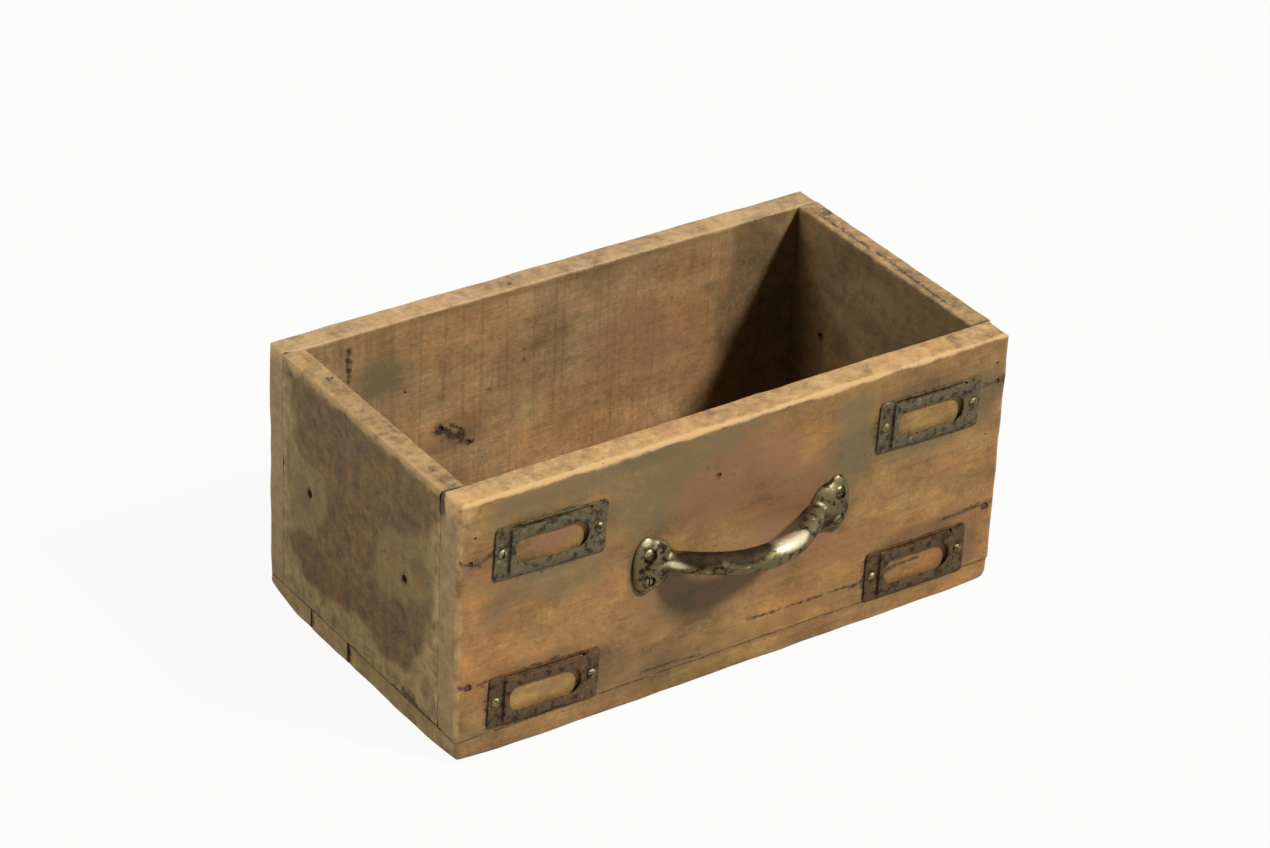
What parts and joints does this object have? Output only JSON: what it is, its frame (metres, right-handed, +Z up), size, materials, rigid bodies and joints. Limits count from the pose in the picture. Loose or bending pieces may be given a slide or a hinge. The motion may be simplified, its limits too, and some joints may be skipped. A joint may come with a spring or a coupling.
{
  "type": "wooden drawer box",
  "caption": "Open wooden drawer box for watercolour paints, nailed from butt-jointed boards on a planked bottom, with a cast bow handle and pressed label holders.",
  "frame": {"origin": "middle of the underside of the wooden box, on the surface it stands on", "axes": "+X along the front to the right as seen from the front, the front with its handle faces -Y, +Z up"},
  "size_m": [0.35, 0.2241, 0.157],
  "materials": {
    "front_wood": "old waxed softwood, worn warm brown with grey and reddish stains",
    "box_wood": "old waxed softwood, darker brown, rubbed pale along the edges",
    "bottom_wood": "old softwood planks, waxed, pale worn edges",
    "aged_brass": "cast brass, darkened olive grey with rubbed bright ridges",
    "green_patina_brass": "pressed brass sheet with a dull grey-green patina",
    "brown_patina_brass": "pressed brass sheet with a dull brown patina",
    "brass_screw": "slotted brass screws, dull, bright where rubbed",
    "rusted_iron": "round iron nails, rusted dark brown"
  },
  "bodies": {
    "root": {"front_board": "front_wood", "back_board": "box_wood", "left_side_board": "box_wood", "right_side_board": "box_wood", "bottom_front_plank": "bottom_wood", "bottom_middle_plank": "bottom_wood", "bottom_back_plank": "bottom_wood", "front_left_nails": "rusted_iron", "front_right_nails": "rusted_iron", "back_left_nails": "rusted_iron", "back_right_nails": "rusted_iron", "front_plank_nails": "rusted_iron", "middle_plank_nails": "rusted_iron", "back_plank_nails": "rusted_iron", "handle": "aged_brass", "handle_left_screws": "brass_screw", "handle_right_screws": "brass_screw", "upper_left_label_holder": "green_patina_brass", "upper_left_label_screws": "brass_screw", "upper_right_label_holder": "green_patina_brass", "upper_right_label_screws": "brass_screw", "lower_left_label_holder": "brown_patina_brass", "lower_left_label_screws": "brass_screw", "lower_right_label_holder": "brown_patina_brass", "lower_right_label_screws": "brass_screw"}
  },
  "joints": []
}
